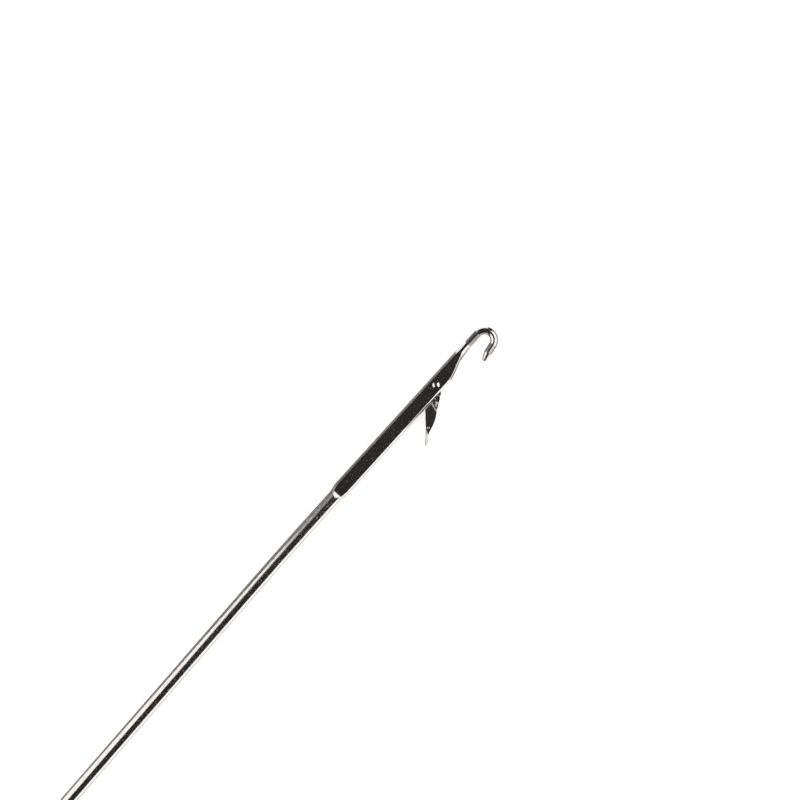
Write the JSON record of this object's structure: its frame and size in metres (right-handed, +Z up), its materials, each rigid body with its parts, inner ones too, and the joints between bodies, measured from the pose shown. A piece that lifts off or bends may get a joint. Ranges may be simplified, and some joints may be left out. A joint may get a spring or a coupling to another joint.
{
  "type": "loop turner",
  "caption": "Long steel wire tool with a finger ring at one end and, at the other, a pressed blade and hook that a swinging latch on a rivet closes; it turns fabric tubes right side out.",
  "frame": {"origin": "on the table, under the middle of the tool's length and width as it lies flat", "axes": "+X along the tool from the finger ring to the hook, -Y towards the side that the hook and the latch open to, +Z up, along the latch's rivet"},
  "size_m": [0.265, 0.025, 0.002],
  "materials": {
    "bright_wire": "bright nickel plate",
    "latch_steel": "nickel plate with press marks",
    "rivet_steel": "polished nickel plate"
  },
  "bodies": {
    "needle": {"finger_ring": "bright_wire", "shank": "bright_wire", "blade": "bright_wire", "hook": "bright_wire", "latch_rivet": "rivet_steel"},
    "latch": {"latch": "latch_steel"}
  },
  "joints": [
    {"name": "latch_swing", "type": "hinge", "parent": "needle", "child": "latch", "pos_m": [0.12056, -0.00074, 0.001], "axis": [0, 0, 1], "range_deg": [0, 123]}
  ]
}
